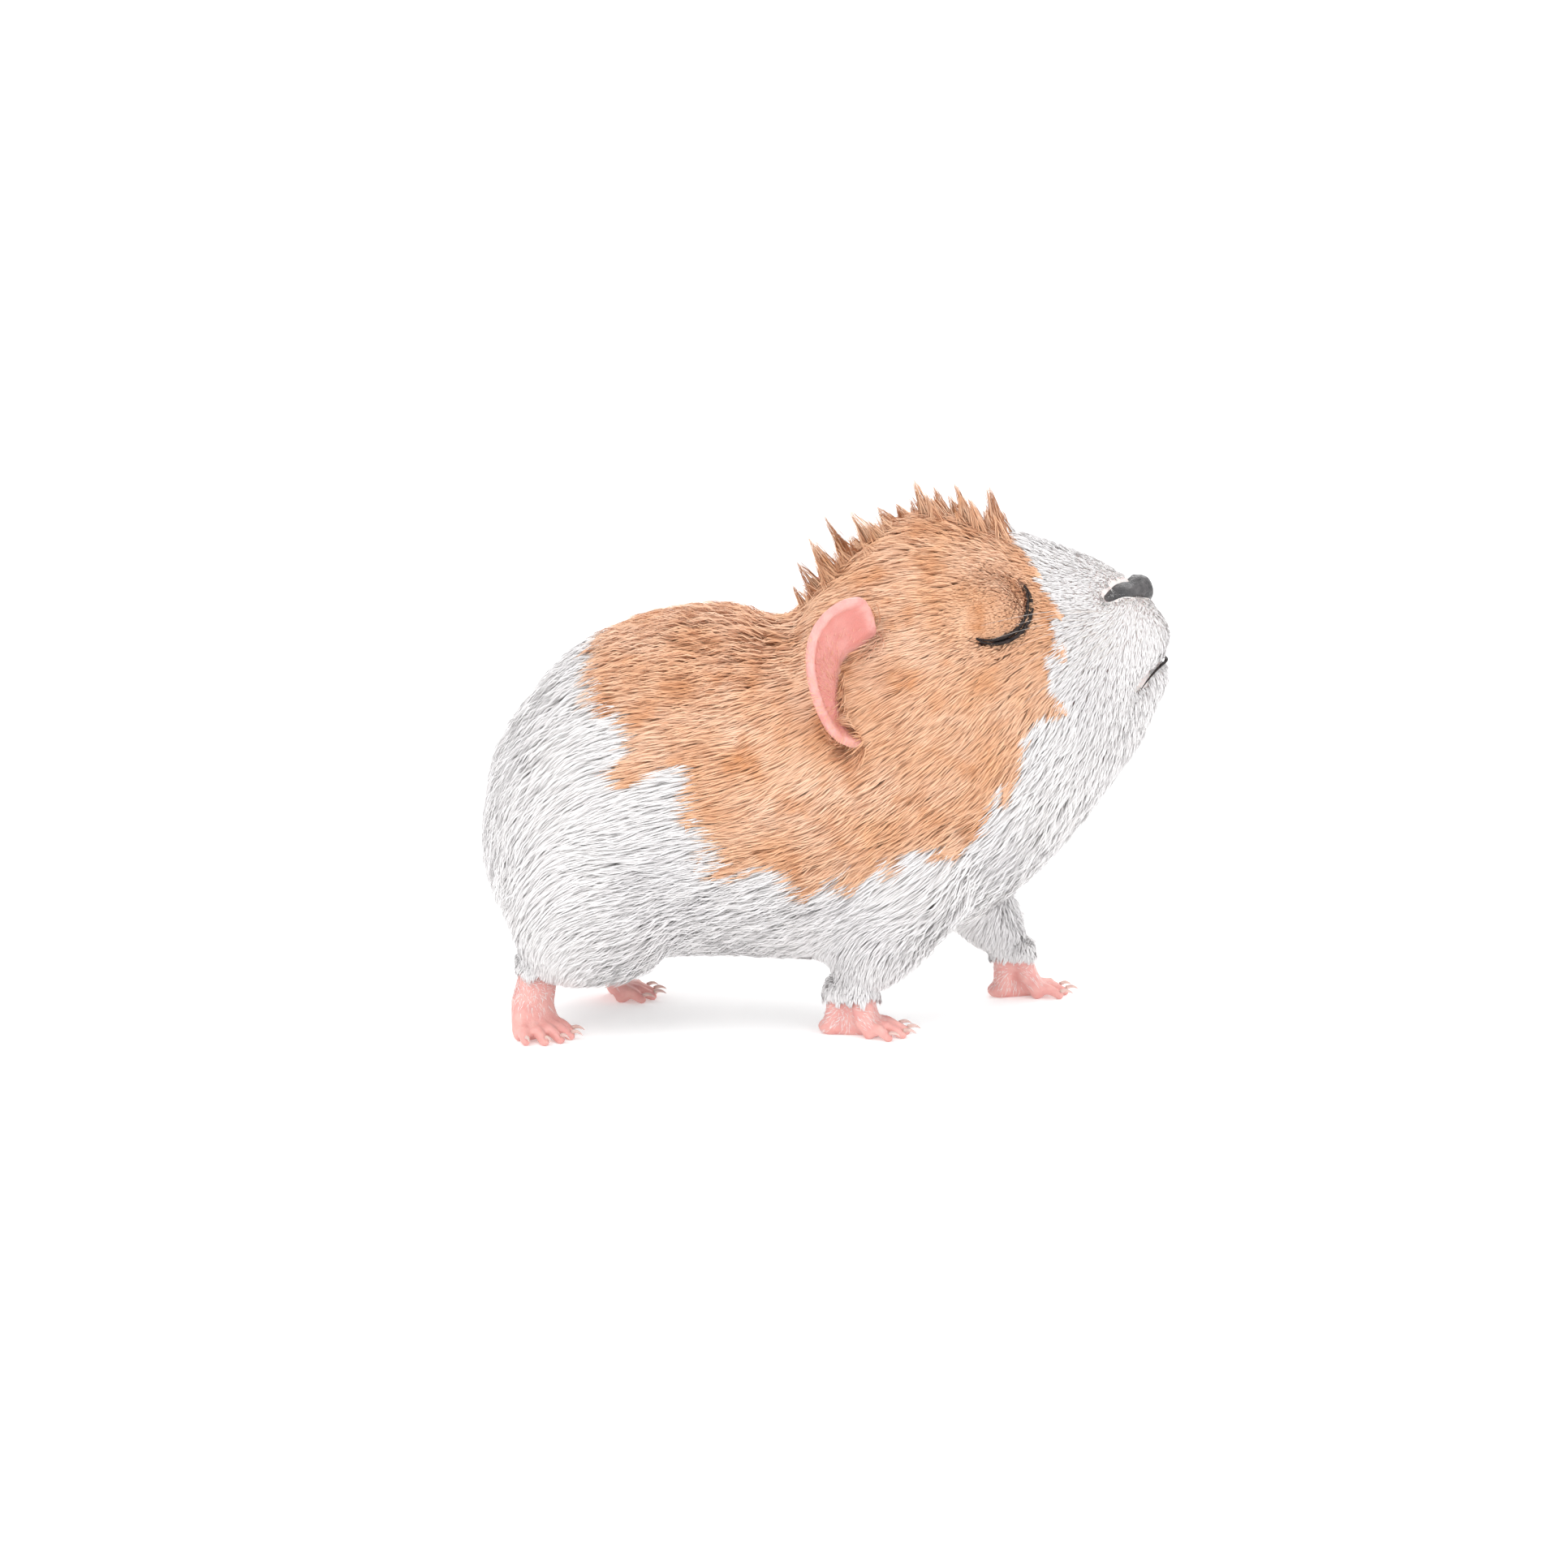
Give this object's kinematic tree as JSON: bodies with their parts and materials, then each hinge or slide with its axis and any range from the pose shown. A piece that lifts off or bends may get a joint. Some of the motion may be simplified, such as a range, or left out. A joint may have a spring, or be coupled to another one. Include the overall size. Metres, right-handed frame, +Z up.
{
  "type": "syrian hamster",
  "caption": "Standing Syrian hamster, life size, nose raised and eyes closed: ginger head and shoulders, white muzzle, belly and rump, bare pink ears and feet.",
  "frame": {"origin": "on the floor, under the middle of the model's box", "axes": "+X towards the nose, +Y towards the animal's left side, +Z up"},
  "size_m": [0.1202, 0.0588, 0.0955],
  "materials": {
    "ginger_coat": "soft dense ginger fur",
    "white_coat": "soft dense white fur",
    "pink_skin": "bare pink skin with fine creases",
    "nose_leather": "moist, finely pebbled",
    "claw_horn": "smooth pale horn"
  },
  "bodies": {
    "root": {"head": "ginger_coat", "neck": "ginger_coat", "trunk": "white_coat", "tail": "pink_skin", "nose": "nose_leather", "ear_left": "pink_skin", "ear_right": "pink_skin", "eye_left": "ginger_coat", "eye_right": "ginger_coat", "fore_leg_left": "white_coat", "fore_leg_right": "white_coat", "fore_foot_left": "pink_skin", "fore_foot_right": "pink_skin", "hind_leg_left": "white_coat", "hind_leg_right": "white_coat", "hind_foot_left": "pink_skin", "hind_foot_right": "pink_skin", "fore_claw_left_1": "claw_horn", "fore_claw_left_2": "claw_horn", "fore_claw_left_3": "claw_horn", "fore_claw_left_4": "claw_horn", "fore_claw_right_1": "claw_horn", "fore_claw_right_2": "claw_horn", "fore_claw_right_3": "claw_horn", "fore_claw_right_4": "claw_horn", "hind_claw_left_1": "claw_horn", "hind_claw_left_2": "claw_horn", "hind_claw_left_3": "claw_horn", "hind_claw_left_4": "claw_horn", "hind_claw_left_5": "claw_horn", "hind_claw_right_1": "claw_horn", "hind_claw_right_2": "claw_horn", "hind_claw_right_3": "claw_horn", "hind_claw_right_4": "claw_horn", "hind_claw_right_5": "claw_horn"}
  },
  "joints": []
}
